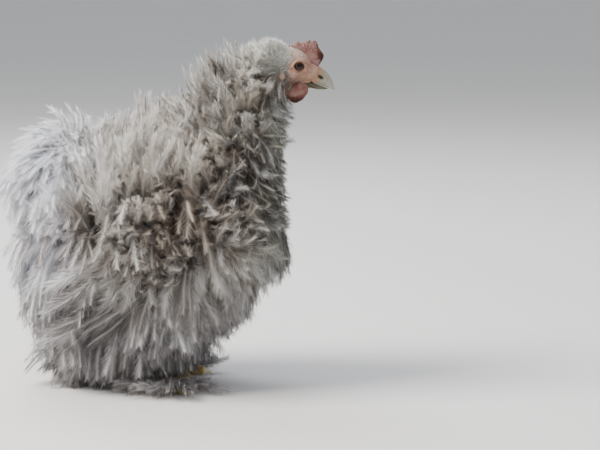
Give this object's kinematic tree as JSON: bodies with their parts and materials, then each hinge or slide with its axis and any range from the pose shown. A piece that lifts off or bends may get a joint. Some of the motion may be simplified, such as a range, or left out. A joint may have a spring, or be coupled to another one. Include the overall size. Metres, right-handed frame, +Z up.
{
  "type": "pekin bantam",
  "caption": "Small round frizzled pekin bantam hen, standing with her head up; curled pale plumage down to feathered feet, short cushion tail, single comb.",
  "frame": {"origin": "on the floor, under the middle of the bounding box", "axes": "+X forwards, where the hen looks; +Y to her left; +Z up"},
  "size_m": [0.2641, 0.185, 0.2751],
  "materials": {
    "body_plumage": "soft matte feather, cream white with a grey base",
    "hackle_plumage": "soft matte feather, warm cream",
    "tail_plumage": "soft matte feather, bluish white",
    "wing_plumage": "matte feather, pale fawn grey",
    "face_skin": "thin bare skin, orange pink, slightly waxy",
    "comb_skin": "granular red skin, slightly waxy",
    "horn": "satin horn",
    "eye": "wet and glossy",
    "leg_scales": "matte scales, yellow",
    "claw_horn": "satin horn"
  },
  "bodies": {
    "root": {"torso": "body_plumage", "neck": "hackle_plumage", "tail": "tail_plumage", "wing_left": "wing_plumage", "wing_right": "wing_plumage", "thigh_left": "body_plumage", "thigh_right": "body_plumage", "head": "face_skin", "earlobe_left": "face_skin", "earlobe_right": "face_skin", "comb": "comb_skin", "wattle_left": "comb_skin", "wattle_right": "comb_skin", "beak_upper": "horn", "beak_lower": "horn", "eye_left": "eye", "eye_right": "eye", "shank_left": "leg_scales", "shank_right": "leg_scales", "foot_left": "leg_scales", "foot_right": "leg_scales", "claw_left_middle": "claw_horn", "claw_left_inner": "claw_horn", "claw_left_outer": "claw_horn", "claw_left_hind": "claw_horn", "claw_right_middle": "claw_horn", "claw_right_inner": "claw_horn", "claw_right_outer": "claw_horn", "claw_right_hind": "claw_horn"}
  },
  "joints": []
}
